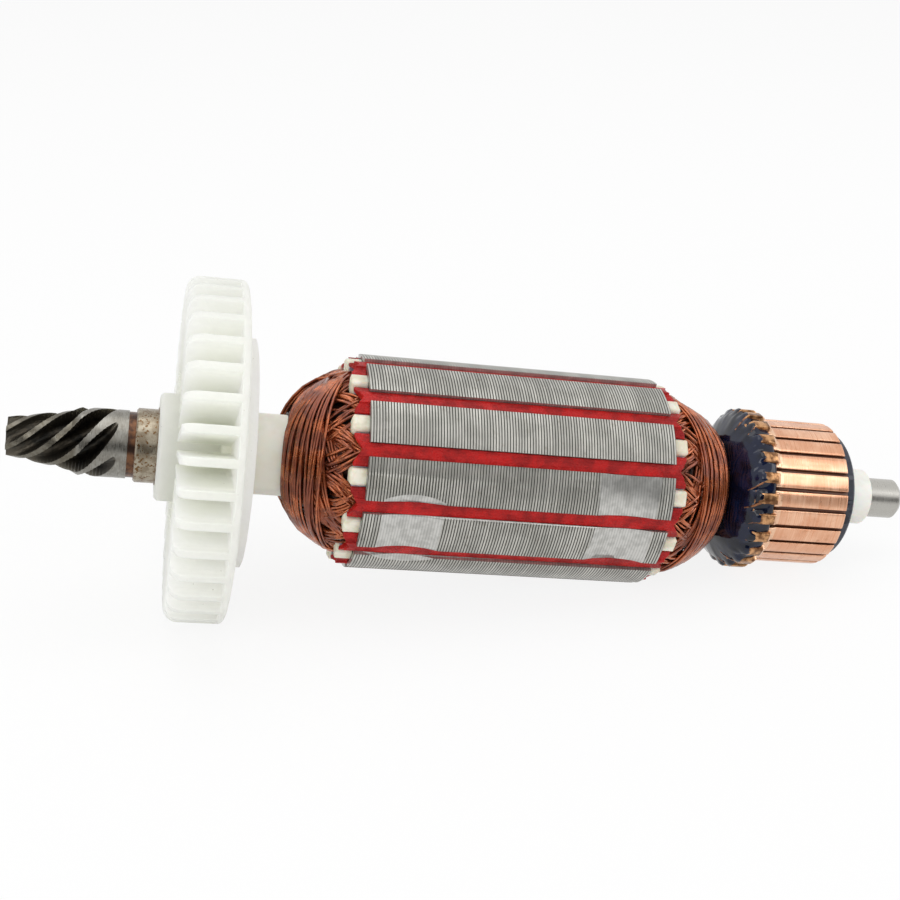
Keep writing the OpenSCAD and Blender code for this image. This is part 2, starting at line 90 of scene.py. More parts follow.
# %% [markdown]
# The camera stands a little to the left, above the part, with a long lens and a slight
# roll. A long lens keeps the near and far ends of a small object at about the same scale.
# The view transform is Standard, so a colour renders as it is written.

# %% Camera
CAMERA_PLACE = Vector((-0.04454, -0.21290, 0.12246))
CAMERA_TURN = 10.397
CAMERA_DROP = 24.114
CAMERA_ROLL = 0.840
LENS_MM = 56.36

scene = bpy.context.scene
camera = bpy.data.objects.new("camera", bpy.data.cameras.new("camera"))
scene.collection.objects.link(camera)
camera.data.sensor_width = 36
camera.data.lens = LENS_MM
camera.data.clip_start = 0.01
aim = Euler((math.radians(90 - CAMERA_DROP), 0, math.radians(-CAMERA_TURN))).to_matrix()
camera.matrix_world = (Matrix.Translation(CAMERA_PLACE)
                       @ (aim @ Matrix.Rotation(math.radians(CAMERA_ROLL), 3, "Z")).to_4x4())
scene.camera = camera
scene.view_settings.view_transform = "Standard"
print("Camera", round(CAMERA_PLACE.length, 3), "m from the middle, lens", LENS_MM, "mm")

# %% [markdown]
# Plain studio light has no hard shadows. A small lamp would draw sharp ones, so each lamp
# here is about half a metre wide: one above, a stronger one in front on the left, and a weak
# one on the right that opens the shadow side.

# %% Soft lamps
LAMP_TARGET = Vector((0, 0, 0.03))


def soft_lamp(name, place, width, watts):
    """A square area lamp that faces the armature."""
    lamp = bpy.data.lights.new(name, "AREA")
    lamp.size = width
    lamp.energy = watts
    holder = bpy.data.objects.new(name, lamp)
    holder.location = place
    holder.rotation_euler = (LAMP_TARGET - Vector(place)).to_track_quat("-Z", "Y").to_euler()
    scene.collection.objects.link(holder)
    print(name, watts, "W")


soft_lamp("lamp_above", (-0.05, 0.05, 0.75), width=0.6, watts=1.5)
soft_lamp("lamp_front_left", (-0.55, -0.6, 0.4), width=0.5, watts=2.0)
soft_lamp("lamp_right", (0.7, -0.25, 0.35), width=0.4, watts=1.1)

# %% [markdown]
# Every finish here is a tree of shader nodes. They could be placed by hand in the shader
# editor, but in code each node would take three or four lines. These helpers place one node,
# one sum, one fade or one mix of colours in a line, so that a finish reads like a recipe.


# %% Small helpers for shader trees
def blank_tree(owner):
    """Turns on the nodes of a material or world and clears them."""
    owner.use_nodes = True
    owner.node_tree.nodes.clear()
    return owner.node_tree


def step(tree, kind, sockets=None, **settings):
    """One shader node with its settings, its inputs linked or set."""
    node = tree.nodes.new(kind)
    for key, value in settings.items():
        setattr(node, key, value)
    for key, value in (sockets or {}).items():
        if isinstance(value, bpy.types.NodeSocket):
            tree.links.new(value, node.inputs[key])
        else:
            node.inputs[key].default_value = value
    return node


def calc(tree, operation, a, b=0.0, c=0.0):
    """One Math node; returns its output."""
    return step(tree, "ShaderNodeMath", {0: a, 1: b, 2: c}, operation=operation).outputs[0]


def fade(tree, value, start, end, first=0.0, last=1.0, kind="LINEAR"):
    """Goes from first to last while a value goes from start to end, and holds outside."""
    return step(tree, "ShaderNodeMapRange", {
        "Value": value, "From Min": start, "From Max": end, "To Min": first, "To Max": last},
        interpolation_type=kind).outputs[0]


# %% Small helpers for colours
def blend_colours(tree, mask, first, second, share=1.0):
    """Lays the second colour over the first by a mask, at a share of its strength."""
    if share < 1:
        mask = calc(tree, "MULTIPLY", mask, share)
    return step(tree, "ShaderNodeMix", {0: mask, 6: first, 7: second},
                data_type="RGBA").outputs[2]


def rgb(red, green, blue):
    """An sRGB colour of 0 to 255 as Blender's linear colour."""
    def linear(v):
        v /= 255
        return v / 12.92 if v <= 0.04045 else ((v + 0.055) / 1.055) ** 2.4
    return (linear(red), linear(green), linear(blue), 1.0)


def grey(value):
    """A grey in Blender's linear colour: 0 is black and 1 is white."""
    return (value, value, value, 1.0)


print("Mid grey 128 as a linear colour:", round(rgb(128, 128, 128)[0], 3))

# %% [markdown]
# Polished steel shows what stands round it, and in a white room it turns flat. A wide dark
# strip behind the camera gives it something to mirror. Only mirrors see the strip, so it
# casts no shadow and darkens nothing else.

# %% Dark card
bpy.ops.object.select_all(action="DESELECT")
bpy.ops.mesh.primitive_plane_add(size=1, location=(0, -0.55, 0.16),
                                 rotation=(math.radians(90), 0, 0))
card = bpy.context.object
card.name = "dark_card"
card.scale = (1.6, 0.32, 1)
for ray in ("camera", "diffuse", "transmission", "volume_scatter", "shadow"):
    setattr(card, "visible_" + ray, False)

dark_cloth = bpy.data.materials.new("dark_cloth")
tree = blank_tree(dark_cloth)
dull = step(tree, "ShaderNodeBsdfDiffuse", {"Color": grey(0.06)})
step(tree, "ShaderNodeOutputMaterial", {"Surface": dull.outputs[0]})
card.data.materials.append(dark_cloth)
print("Dark card:", card.scale[0], "m wide")

# %% [markdown]
# The bench is one large plane. A plain grey one would show a horizon and a tint, and more
# light would bleach the object too. So the eye sees mostly an even white glow, mixed with a
# little of the real, lit surface, which keeps the soft shadow. The same holds for the sky.

# %% Bench and sky
FLOOR_GLOW = 0.86
SKY_LEVEL = 0.66


def clear_rays(tree):
    """1 for rays that show the background: from the camera, a mirror or glass."""
    rays = step(tree, "ShaderNodeLightPath").outputs
    shiny = calc(tree, "MAXIMUM", rays["Is Glossy Ray"], rays["Is Transmission Ray"])
    return calc(tree, "MAXIMUM", rays["Is Camera Ray"], shiny)


bpy.ops.mesh.primitive_plane_add(size=6)
bench = bpy.context.object
bench.name = "bench_top"
paint = bpy.data.materials.new("pale_bench")
tree = blank_tree(paint)
lit = step(tree, "ShaderNodeBsdfDiffuse", {"Color": grey(0.93)})
white = step(tree, "ShaderNodeEmission", {"Color": grey(1.0), "Strength": 1.0})
seen = calc(tree, "MULTIPLY", clear_rays(tree), FLOOR_GLOW)
both = step(tree, "ShaderNodeMixShader", {0: seen, 1: lit.outputs[0], 2: white.outputs[0]})
step(tree, "ShaderNodeOutputMaterial", {"Surface": both.outputs[0]})
bench.data.materials.append(paint)

scene.world = bpy.data.worlds.new("studio")
tree = blank_tree(scene.world)
level = calc(tree, "MULTIPLY_ADD", clear_rays(tree), 1 - SKY_LEVEL, SKY_LEVEL)
sky = step(tree, "ShaderNodeBackground", {"Color": grey(1.0), "Strength": level})
step(tree, "ShaderNodeOutputWorld", {"Surface": sky.outputs[0]})
print("Bench and sky: glow", FLOOR_GLOW, "and light", SKY_LEVEL)

# %% [markdown]
# The finishes share a few effects: soft mottling, fine marks that run round the shaft as a
# lathe or a brush leaves them, and bands along the shaft. Each is a shader group, built once
# and placed in many finishes. It reads Object coordinates through a Mapping node, which
# turns them into the shaft's own frame.


# %% Coordinates of the shaft in a shader tree
def shaft_coordinates(tree):
    """Metres in the shaft's frame: x and y across it, z along it from the stack's start."""
    place = step(tree, "ShaderNodeTexCoord").outputs["Object"]
    return step(tree, "ShaderNodeMapping", {
        "Vector": place, "Location": stack_start,
        "Rotation": shaft_frame.to_euler()}, vector_type="TEXTURE").outputs[0]


def mm_along(tree):
    """Millimetres along the shaft from the stack's start."""
    along_z = step(tree, "ShaderNodeSeparateXYZ", {0: shaft_coordinates(tree)}).outputs[2]
    return calc(tree, "MULTIPLY", along_z, 1 / MM)


# %% Making and placing a shader group
def new_group(name, inputs, outputs):
    """An empty shader group with named number inputs and outputs."""
    group = bpy.data.node_groups.new(name, "ShaderNodeTree")
    for label, value in inputs.items():
        socket = group.interface.new_socket(label, in_out="INPUT", socket_type="NodeSocketFloat")
        socket.default_value = value
    for label in outputs:
        group.interface.new_socket(label, in_out="OUTPUT", socket_type="NodeSocketFloat")
    print("Shader group:", name)
    return (group, group.nodes.new("NodeGroupInput").outputs,
            group.nodes.new("NodeGroupOutput").inputs)


def use(tree, group, values=None):
    """Places a group in a tree with its own values; returns its outputs."""
    return step(tree, "ShaderNodeGroup", values, node_tree=group).outputs


# %% Mottling: soft blotches of a chosen size
mottling, given, made = new_group(
    "mottling", {"Per mm": 1.0, "Seed": 0.0, "From": 0.4, "To": 0.6, "Detail": 3.0}, ["Mask"])
noise = step(mottling, "ShaderNodeTexNoise", {
    "Vector": shaft_coordinates(mottling), "W": given["Seed"],
    "Scale": calc(mottling, "MULTIPLY", given["Per mm"], 1 / MM),
    "Detail": given["Detail"]}, noise_dimensions="4D").outputs[0]
mottling.links.new(
    fade(mottling, noise, given["From"], given["To"], kind="SMOOTHSTEP"), made["Mask"])


def blotches(tree, per_mm, seed, low=0.4, high=0.6, detail=3.0):
    """Mottling: 0 where its noise is under low, 1 where it is over high."""
    return use(tree, mottling, {"Per mm": per_mm, "Seed": seed, "From": low, "To": high,
                                "Detail": detail})["Mask"]


# %% Turned marks: fine lines round the shaft
turned_marks, given, made = new_group(
    "turned_marks", {"Per mm": 8.0, "Around": 0.12, "From": 0.3, "To": 0.7}, ["Mask"])
across = calc(turned_marks, "MULTIPLY", given["Per mm"], given["Around"])
stretch = step(turned_marks, "ShaderNodeCombineXYZ",
               {0: across, 1: across, 2: given["Per mm"]}).outputs[0]
lines = step(turned_marks, "ShaderNodeVectorMath", {
    0: shaft_coordinates(turned_marks), 1: stretch}, operation="MULTIPLY").outputs[0]
noise = step(turned_marks, "ShaderNodeTexNoise", {
    "Vector": lines, "Scale": 1 / MM, "Detail": 2.0}).outputs[0]
turned_marks.links.new(
    fade(turned_marks, noise, given["From"], given["To"]), made["Mask"])


def marks_round(tree, per_mm, around=0.12):
    """Turned marks: lines per millimetre, and how fast they change round the shaft."""
    return use(tree, turned_marks, {"Per mm": per_mm, "Around": around})["Mask"]


# %% Band: a soft-edged stretch along the shaft, in millimetres
band_along, given, made = new_group(
    "band_along", {"Start": 0.0, "End": 10.0, "Soft": 0.1}, ["Mask"])
z_mm = mm_along(band_along)
before = calc(band_along, "MULTIPLY", given["Soft"], -1.0)
rise, fall = (fade(band_along, calc(band_along, "SUBTRACT", a, b), before, given["Soft"],
                   kind="SMOOTHSTEP")
              for a, b in ((z_mm, given["Start"]), (given["End"], z_mm)))
band_along.links.new(calc(band_along, "MULTIPLY", rise, fall), made["Mask"])


def band(tree, start, end, soft):
    """1 from start to end along the shaft, with edges so soft."""
    return use(tree, band_along, {"Start": start, "End": end, "Soft": soft})["Mask"]


# %% Distance from the axis, in millimetres
radius_of, given, made = new_group("radius_of", {}, ["Radius"])
parts = step(radius_of, "ShaderNodeSeparateXYZ", {0: shaft_coordinates(radius_of)}).outputs
flat = step(radius_of, "ShaderNodeCombineXYZ", {0: parts[0], 1: parts[1], 2: 0.0}).outputs[0]
away = step(radius_of, "ShaderNodeVectorMath", {0: flat}, operation="LENGTH").outputs["Value"]
radius_of.links.new(calc(radius_of, "MULTIPLY", away, 1 / MM), made["Radius"])


def radius(tree):
    """Millimetres from the shaft's axis."""
    return use(tree, radius_of)["Radius"]


# %% A finish starts as a Principled shader
def finish(name, **constants):
    """A new material; constants are set on the Principled shader's own sockets."""
    material = bpy.data.materials.new(name)
    tree = blank_tree(material)
    shader = step(tree, "ShaderNodeBsdfPrincipled",
                  {label.replace("_", " "): value for label, value in constants.items()})
    step(tree, "ShaderNodeOutputMaterial", {"Surface": shader.outputs[0]})
    print("Finish:", name)
    return material, tree, shader


def colour(tree, shader, value):
    """Feeds a colour to the shader."""
    tree.links.new(value, shader.inputs["Base Color"])


def rough(tree, shader, mask, smooth_value, rough_value):
    """Roughness between two values, by a mask."""
    tree.links.new(fade(tree, mask, 0.0, 1.0, smooth_value, rough_value),
                   shader.inputs["Roughness"])


def raise_by(tree, shader, height, millimetres, strength=1.0):
    """Feeds a height mask to the shader's normal as a bump of so many millimetres."""
    bump = step(tree, "ShaderNodeBump", {
        "Height": height, "Distance": millimetres * MM, "Strength": strength})
    tree.links.new(bump.outputs[0], shader.inputs["Normal"])


# %% [markdown]
# The shaft is turned and hobbed steel that has run for years: bright lands with fine turning
# marks, flutes with painted shade that darkens towards their bottoms, a groove stained brown,
# a seat pitted by rust, and a lighter far end. Each place could be a material of its own, but
# then every border would be an edge of the mesh. One finish with masks is softer: bands along
# the shaft choose the places, and a point that lies below the teeth's crests is in a flute.

# %% Shaft steel: where things are, in millimetres
PINION_TIP_Z, CONE_END_Z, PINION_END_Z = -55.1, -44.6, -43.9
TIP_CREST_R, CONE_CREST_R, CREST_RISE = 3.05, 4.8, 0.7
BEFORE_TIP_Z, WORN_END_Z, FLUTES_END_Z = -60, -44.4, -38.2
GROOVE_Z, SEAT_Z, SEAT_END_Z = -36.5, -35.3, -31.8
FAR_END_Z, PAST_END_Z = 90, 105

shaft_steel, tree, shader = finish("shaft_steel_worn", Metallic=0.9)
z_mm = mm_along(tree)
crest = calc(tree, "ADD",
             fade(tree, z_mm, PINION_TIP_Z, CONE_END_Z, TIP_CREST_R, CONE_CREST_R),
             fade(tree, z_mm, CONE_END_Z, PINION_END_Z, 0.0, CREST_RISE))
below = calc(tree, "SUBTRACT", crest, radius(tree))
flute = calc(tree, "MULTIPLY", fade(tree, below, 0.03, 0.16),
             band(tree, BEFORE_TIP_Z, FLUTES_END_Z, 0.1))
worn = calc(tree, "MULTIPLY", band(tree, BEFORE_TIP_Z, WORN_END_Z, 0.4),
            calc(tree, "SUBTRACT", 1.0, flute))
groove = band(tree, GROOVE_Z, SEAT_Z, 0.05)
seat = band(tree, SEAT_Z, SEAT_END_Z, 0.05)
far_end = band(tree, FAR_END_Z, PAST_END_Z, 0.3)

# %% Shaft steel: colours
marks = marks_round(tree, 9.0)
blotch = blotches(tree, 0.7, seed=1.0, detail=5.0)
pits = blotches(tree, 2.0, seed=4.0, low=0.55, high=0.6, detail=5.0)
chips = blotches(tree, 1.5, seed=24.0, detail=6.0)
# Painted shade: the flutes darken the deeper a point lies below the crests, with brownish
# blotches on top.
flute_shade = blend_colours(tree, fade(tree, below, 0.1, 1.6), rgb(92, 88, 79), rgb(34, 33, 30))
flute_shade = blend_colours(tree, blotch, flute_shade, rgb(84, 76, 64), 0.4)
beige = blend_colours(tree, blotch, rgb(160, 151, 134), rgb(132, 120, 102))
beige = blend_colours(tree, pits, beige, rgb(104, 76, 46))
stained = blend_colours(tree, blotch, rgb(112, 78, 56), rgb(70, 52, 44))

steel = blend_colours(tree, marks, rgb(122, 119, 112), rgb(154, 152, 145))
steel = blend_colours(tree, blotch, steel, rgb(112, 107, 98), 0.45)
steel = blend_colours(tree, flute, steel, flute_shade)
steel = blend_colours(tree, far_end, steel, rgb(190, 188, 182), 0.8)
steel = blend_colours(tree, worn, steel, rgb(112, 108, 98))
steel = blend_colours(tree, calc(tree, "MULTIPLY", worn, chips), steel, rgb(84, 78, 66), 0.6)
steel = blend_colours(tree, seat, steel, beige)
steel = blend_colours(tree, groove, steel, stained)
colour(tree, shader, steel)
rough(tree, shader, calc(tree, "MAXIMUM", flute, marks), 0.26, 0.36)
raise_by(tree, shader, marks, 0.004)

# %% [markdown]
# The sleeve and the insulators are moulded in off-white plastic. A plain white reads as
# paint: light goes a little way into such plastic, so a small share of subsurface scattering
# fills its shadows, and soft blotches and faint marks break the even colour.

# %% Sleeve and insulators
sleeve_plastic, tree, shader = finish("sleeve_plastic", Roughness=0.42, Subsurface_Weight=0.25,
                                      Subsurface_Scale=0.002)
soft = blotches(tree, 0.25, seed=2.0)
colour(tree, shader, blend_colours(tree, soft, rgb(248, 245, 238), rgb(242, 238, 229)))
raise_by(tree, shader, marks_round(tree, 2.0, around=0.5), 0.01)

insulator_plastic, tree, shader = finish("insulator_plastic", Roughness=0.4,
                                         Subsurface_Weight=0.2, Subsurface_Scale=0.0015)
soft = blotches(tree, 0.6, seed=3.0)
colour(tree, shader, blend_colours(tree, soft, rgb(236, 232, 216), rgb(222, 214, 192)))
raise_by(tree, shader, soft, 0.02)

# %% [markdown]
# The fan is natural nylon, milky and translucent. Transmission would show the dark shaft
# through it as grey, so scattering alone, deep and equal in all colours, does the work. The
# rim looks greyer, the hub greener, and specks of dust sit on it.

# %% Fan nylon
fan_nylon, tree, shader = finish("fan_nylon", Roughness=0.5, Subsurface_Weight=1.0,
                                 Subsurface_Scale=0.012, Subsurface_Radius=(1.0, 1.0, 1.0),
                                 Specular_IOR_Level=0.35)
soft = blotches(tree, 0.12, seed=5.0)
inner = fade(tree, radius(tree), 20.0, 10.0)
tips = fade(tree, radius(tree), 26.2, 27.4)
dust = blotches(tree, 1.6, seed=21.0, low=0.72, high=0.76, detail=2.0)
nylon = blend_colours(tree, soft, rgb(252, 253, 243), rgb(249, 251, 237))
nylon = blend_colours(tree, tips, nylon, rgb(230, 232, 219))
nylon = blend_colours(tree, inner, nylon, rgb(244, 247, 224))
colour(tree, shader, blend_colours(tree, dust, nylon, rgb(150, 140, 110), 0.5))
raise_by(tree, shader, blotches(tree, 0.8, seed=6.0), 0.03)

# %% [markdown]
# The stack is pressed from about a hundred thin steel sheets, and their edges make the fine
# lines along it. Sheets so thin could be modelled one by one, but a band pattern with a bump
# shows them as well and stays light. Where the balance cuts went through, the steel is
# freshly milled: the mask for it is the distance from the axis, as a cut lies deeper, and
# brighter patches on the cut are painted sheen.

# %% Sheets: dark gaps between them, and a random value for each
SHEET_PITCH = 0.468
GAP_SHARE = 0.3

sheets, given, made = new_group("sheets", {"Pitch": SHEET_PITCH, "Gap": GAP_SHARE},
                                ["Gap", "Sheet"])
count = calc(sheets, "DIVIDE", mm_along(sheets), given["Pitch"])
off_middle = calc(sheets, "ABSOLUTE", calc(sheets, "SUBTRACT", calc(sheets, "FRACT", count), 0.5))
edge = calc(sheets, "SUBTRACT", 0.5, calc(sheets, "MULTIPLY", given["Gap"], 0.5))
sheets.links.new(
    fade(sheets, off_middle, calc(sheets, "SUBTRACT", edge, 0.12),
         calc(sheets, "ADD", edge, 0.06), kind="SMOOTHSTEP"), made["Gap"])
each = step(sheets, "ShaderNodeTexWhiteNoise", {"W": calc(sheets, "FLOOR", count)},
            noise_dimensions="1D")
sheets.links.new(each.outputs["Value"], made["Sheet"])

# %% Lamination steel
CUT_FLOOR_R, CUT_START_R, CUT_FULL_R, CUT_EDGE_R = 16.95, 17.0, 17.68, 17.71

lamination_steel, tree, shader = finish("lamination_steel", Metallic=0.75)
lines = use(tree, sheets)
cut = calc(tree, "MULTIPLY", fade(tree, radius(tree), CUT_EDGE_R, CUT_FULL_R),
           fade(tree, radius(tree), CUT_FLOOR_R, CUT_START_R))
groove = calc(tree, "MULTIPLY", lines["Gap"], fade(tree, cut, 0.0, 1.0, 1.0, 0.22))
dirt = blotches(tree, 0.22, seed=7.0, detail=6.0)
stains = blotches(tree, 0.9, seed=17.0, low=0.58, high=0.72, detail=6.0)
# Partly painted sheen: brighter blotches on the cut stand in for the reflection of the milled
# grain, over its real uneven tone.
milled_sheen = blotches(tree, 0.7, seed=18.0, detail=5.0)
bright = blend_colours(tree, milled_sheen, rgb(182, 181, 177), rgb(202, 201, 197))
steel = blend_colours(tree, lines["Sheet"], rgb(180, 179, 173), rgb(204, 202, 195))
steel = blend_colours(tree, dirt, steel, rgb(132, 131, 124), 0.35)
steel = blend_colours(tree, stains, steel, rgb(120, 110, 92), 0.35)
steel = blend_colours(tree, cut, steel, bright)
colour(tree, shader, blend_colours(tree, groove, steel, rgb(58, 57, 52)))
rough(tree, shader, cut, 0.42, 0.3)
raise_by(tree, shader, calc(tree, "SUBTRACT", 1.0, groove), 0.1, 0.6)

# %% [markdown]
# Each slot is lined with a thin bluish film and closed by a strip of red vulcanised fibre.
# One red would look like plastic. The fibre gets a thin varnish coat over a darker and a
# lighter red, threads along the strip, a grain that stands up, and pale spots where it tore
# as it was pushed in.

# %% Liner film and wedge fibre
liner_film, tree, shader = finish("liner_film", Roughness=0.35, Subsurface_Weight=0.3,
                                  Subsurface_Scale=0.001)
soft = blotches(tree, 0.7, seed=8.0)
colour(tree, shader, blend_colours(tree, soft, rgb(196, 190, 204), rgb(168, 160, 176)))

wedge_fibre, tree, shader = finish("wedge_fibre", Coat_Weight=0.12, Coat_Roughness=0.15,
                                   Specular_IOR_Level=0.2)
threads = marks_round(tree, 0.35, around=9.0)
soft = blotches(tree, 0.4, seed=9.0, detail=6.0)
grain = blotches(tree, 2.4, seed=19.0, detail=4.0)
torn = blotches(tree, 1.1, seed=20.0, low=0.7, high=0.78, detail=7.0)
red = blend_colours(tree, soft, rgb(182, 16, 16), rgb(136, 9, 12))
red = blend_colours(tree, threads, red, rgb(204, 40, 34), 0.35)
colour(tree, shader, blend_colours(tree, torn, red, rgb(236, 196, 188), 0.7))
rough(tree, shader, soft, 0.3, 0.5)
raise_by(tree, shader, grain, 0.12, 0.8)

# %% [markdown]
# The wire is copper under clear enamel, with pools of brown varnish. A metal with a glossy
# coat gives both highlights, the warm one of the copper and the white one of the enamel. The
# deep layers are painted nearly black, as shade and dark varnish; wavy bands stand for strands.

# %% Winding copper and deep winding
winding_copper, tree, shader = finish("winding_copper", Metallic=0.8, Coat_Weight=0.8,
                                      Coat_Roughness=0.1)
soft = blotches(tree, 0.3, seed=10.0)
varnish = blotches(tree, 0.7, seed=22.0, low=0.5, high=0.68, detail=4.0)
wire = blend_colours(tree, soft, rgb(182, 98, 54), rgb(132, 62, 34))
colour(tree, shader, blend_colours(tree, varnish, wire, rgb(74, 36, 20), 0.5))
rough(tree, shader, soft, 0.24, 0.36)

# Painted shade: nearly black, for the shade deep inside the winding together with its dark
# varnish.
deep_winding, tree, shader = finish("deep_winding", Metallic=0.5, Roughness=0.4)
place = step(tree, "ShaderNodeVectorMath", {0: shaft_coordinates(tree), 1: (1 / MM,) * 3},
             operation="MULTIPLY").outputs[0]
strands = step(tree, "ShaderNodeTexWave", {
    "Vector": place, "Scale": 0.5, "Distortion": 14.0, "Detail": 2.0, "Detail Scale": 0.2},
    bands_direction="DIAGONAL").outputs["Fac"]
colour(tree, shader, blend_colours(tree, strands, rgb(12, 7, 5), rgb(62, 32, 20)))
raise_by(tree, shader, strands, 0.3)

# %% [markdown]
# Brushes run on the bars, so the copper there is bright with fine marks round it and a haze
# of soot. Towards the hooks lies a paler collar that no brush reaches, and the hooks are
# bronze from heat. The moulding between the bars is dark, and burnt brown along the track.

# %% Commutator moulding
HOOKS_START_Z, HOOKS_END_Z, COLLAR_END_Z = 60, 70.6, 72.0
GROOVES_START_Z, BARS_END_Z = 70, 84.2

commutator_moulding, tree, shader = finish("commutator_moulding", Roughness=0.4)
soft = blotches(tree, 0.6, seed=11.0)
track = band(tree, GROOVES_START_Z, BARS_END_Z, 0.05)
navy = blend_colours(tree, soft, rgb(44, 48, 62), rgb(30, 33, 46))
colour(tree, shader, blend_colours(tree, track, navy, rgb(92, 54, 34)))
raise_by(tree, shader, soft, 0.03)

# %% Commutator copper
commutator_copper, tree, shader = finish("commutator_copper", Metallic=0.78)
marks = marks_round(tree, 5.0, around=0.04)
soft = blotches(tree, 0.22, seed=12.0, detail=4.0)
soot = blotches(tree, 0.8, seed=25.0, low=0.55, high=0.75, detail=6.0)
heat = blotches(tree, 0.9, seed=26.0, detail=4.0)
bronze = blend_colours(tree, heat, rgb(202, 152, 106), rgb(112, 76, 48))
pale = blend_colours(tree, soot, rgb(232, 190, 158), rgb(186, 124, 88))
copper = blend_colours(tree, marks, rgb(224, 168, 134), rgb(242, 196, 164))
copper = blend_colours(tree, soft, copper, rgb(206, 140, 102), 0.5)
copper = blend_colours(tree, soot, copper, rgb(150, 96, 56), 0.35)
copper = blend_colours(tree, band(tree, HOOKS_END_Z, COLLAR_END_Z, 0.08), copper, pale)
copper = blend_colours(tree, band(tree, HOOKS_START_Z, HOOKS_END_Z, 0.1), copper, bronze)
bar_sides = fade(tree, radius(tree), 12.5, 12.3)
colour(tree, shader, blend_colours(tree, bar_sides, copper, rgb(96, 52, 30)))
rough(tree, shader, marks, 0.26, 0.36)
raise_by(tree, shader, marks, 0.003)

# %% [markdown]
# The resin over the leads was dripped on while the armature turned, and it set glossy and
# nearly black, with a blue tone. Its bump is slow and shallow, as on any poured surface. The
# lead wires show copper only where the resin didn't wet them.

# %% Potting resin and wetted leads
potting_resin, tree, shader = finish("potting_resin", Roughness=0.09, Specular_IOR_Level=0.4)
soft = blotches(tree, 0.35, seed=13.0)
colour(tree, shader, blend_colours(tree, soft, rgb(8, 12, 28), rgb(16, 24, 50)))
raise_by(tree, shader, blotches(tree, 0.2, seed=14.0, detail=0.0), 0.08)

wetted_lead, tree, shader = finish("wetted_lead", Metallic=0.4, Roughness=0.25)
wet = blotches(tree, 0.9, seed=23.0, detail=3.0)
colour(tree, shader, blend_colours(tree, wet, rgb(146, 96, 60), rgb(18, 18, 32)))

# %% [markdown]
# The CAD nodes arrive with plain colours. A finish goes into a node's own material slots,
# which leaves its mesh alone. Coils, wedges and bars are numbered, so the number is cut from
# such a name. A finish has the name of its slot in the record, apart from the shaft's, and
# Blender adds .001 to a name that is taken already.

# %% Every CAD node gets its finish
finishes = {
    "shaft": shaft_steel, "insulating_sleeve": sleeve_plastic, "fan": fan_nylon,
    "lamination_stack": lamination_steel, "drive_end_insulator": insulator_plastic,
    "commutator_end_insulator": insulator_plastic, "slot_liners": liner_film,
    "commutator_hub": commutator_moulding, "lead_potting": potting_resin,
    "slot_wedge": wedge_fibre, "coil": winding_copper, "commutator_bar": commutator_copper,
}
for name, node in nodes.items():
    kind = name if name in finishes else name[:-len("_01")]
    for material_slot in node.material_slots:
        material_slot.material = finishes[kind]
print("Finishes on nodes:", len(set(finishes.values())))

# %% [markdown]
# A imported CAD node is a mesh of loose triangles, which render with flat facets and knife
# edges. No real edge is that sharp: a moulded or machined edge catches a thin line of light.
# A merged copy of such a node gets a small bevel and smooth shading, and stands for it. The
# shaft keeps its node, whose own normals already follow the flutes.


# %% Small helpers for meshes
def select_only(piece):
    """Makes a piece the one that the next operators work on."""
    bpy.ops.object.select_all(action="DESELECT")
    piece.select_set(True)
    bpy.context.view_layer.objects.active = piece


def triangles(piece):
    """How many triangles a piece has."""
    return sum(len(p.vertices) - 2 for p in piece.data.polygons)


# %% A copy of a CAD node with softened edges
MERGE_DISTANCE = 2e-6
FLAT = math.radians(0.05)
CREASE = math.radians(35)


def soften(name, bevel):
    """A merged and smooth copy of a node with a bevel so wide, which replaces it."""
    piece = bpy.data.objects.new(name + "_soft", nodes[name].data.copy())
    scene.collection.objects.link(piece)
    select_only(piece)
    bpy.ops.object.mode_set(mode="EDIT")
    bpy.ops.mesh.select_all(action="SELECT")
    bpy.ops.mesh.remove_doubles(threshold=MERGE_DISTANCE)
    if bevel:
        bpy.ops.mesh.dissolve_limited(angle_limit=FLAT)
    bpy.ops.object.mode_set(mode="OBJECT")
    if bevel:
        edge = piece.modifiers.new("soft_edges", "BEVEL")
        edge.width = bevel * MM
        edge.segments = 2
        edge.limit_method = "ANGLE"
        edge.angle_limit = CREASE
        bpy.ops.object.modifier_apply(modifier=edge.name)
    bpy.ops.object.shade_smooth_by_angle(angle=CREASE)
    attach(piece, "root")
    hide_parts(name)
    return piece


# %% Softened pieces: the width of each bevel in millimetres
BARS = 24
SLOTS = 12

bevels = {f"commutator_bar_{k + 1:02d}": 0.14 for k in range(BARS)}
bevels.update({f"slot_wedge_{k + 1:02d}": 0.12 for k in range(SLOTS)})
bevels.update({"insulating_sleeve": 0.1, "fan": 0.12, "lamination_stack": 0.0,
               "drive_end_insulator": 0.3, "commutator_end_insulator": 0.3,
               "commutator_hub": 0.0})
softened = [soften(name, bevel) for name, bevel in bevels.items()]
print("Softened pieces:", len(softened), "triangles:", sum(map(triangles, softened)))

# %% [markdown]
# The winding is the piece that a plain solid can't show. Each coil is a bundle of enamelled
# wire, wound by a machine from slot to slot over the shaft, and each coil lies on the ones
# before it, so the heads grow into domes of crossing wires. A twisted texture on a dome
# would stay flat at its edge, so every wire is drawn as one closed line: up a slot, over the
# commutator-end dome, down another slot, over the drive-end dome. A curve with a round bevel
# turns the lines into wire, and stands for the CAD coil.

# %% Sizes of the winding
PITCH = 360 / SLOTS
WIRE_R = 0.25
COIL_SPAN = 5
TURNS = 34
WIRES_ACROSS, WIRES_DEEP = 5, 7
LAYERS = SLOTS // 2
LAYER_STEP = 0.82

# Inside a slot: radii of its floor, middle and ceiling, and what takes room beside it.
SLOT_FLOOR, SLOT_MIDDLE, SLOT_CEILING = 9.75, 12.5, 15.15
HALVES_APART = 0.3
TOOTH_WIDTH = 2.9
LINER_ROOM = 0.5
NARROWEST = 0.3

